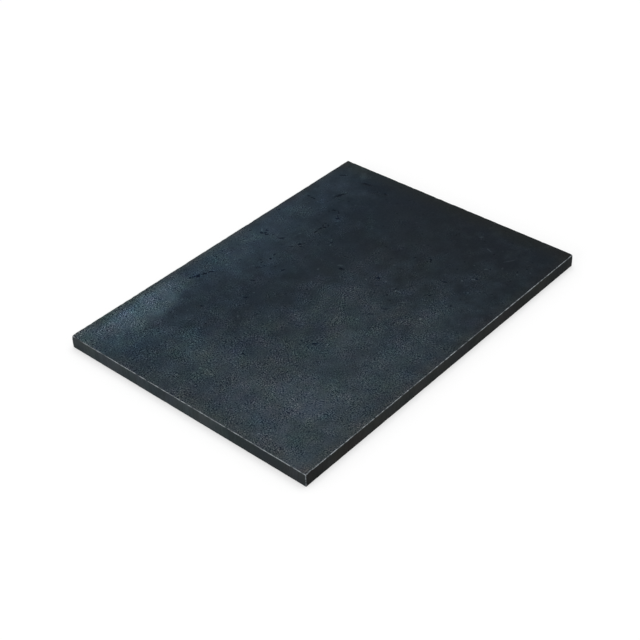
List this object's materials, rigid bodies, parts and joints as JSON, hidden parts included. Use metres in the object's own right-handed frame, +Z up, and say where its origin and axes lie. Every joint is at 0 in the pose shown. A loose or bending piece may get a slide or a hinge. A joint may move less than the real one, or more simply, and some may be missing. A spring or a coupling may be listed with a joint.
{
  "type": "steel plate",
  "caption": "Flat rectangular cut of hot-rolled steel plate with dark blue-grey mill scale and square-cut edges, used as raw stock for welding, drilling or machining.",
  "frame": {"origin": "middle of the lower rolled face, on the surface that the plate lies on", "axes": "+X along the length, +Y along the width, +Z up through the thickness"},
  "size_m": [0.2794, 0.2032, 0.0095],
  "materials": {
    "mill_scale_steel": "hot-rolled mild steel under dark blue-grey mill scale, satin, with bare bright arrises"
  },
  "bodies": {
    "root": {"steel_plate": "mill_scale_steel"}
  },
  "joints": []
}
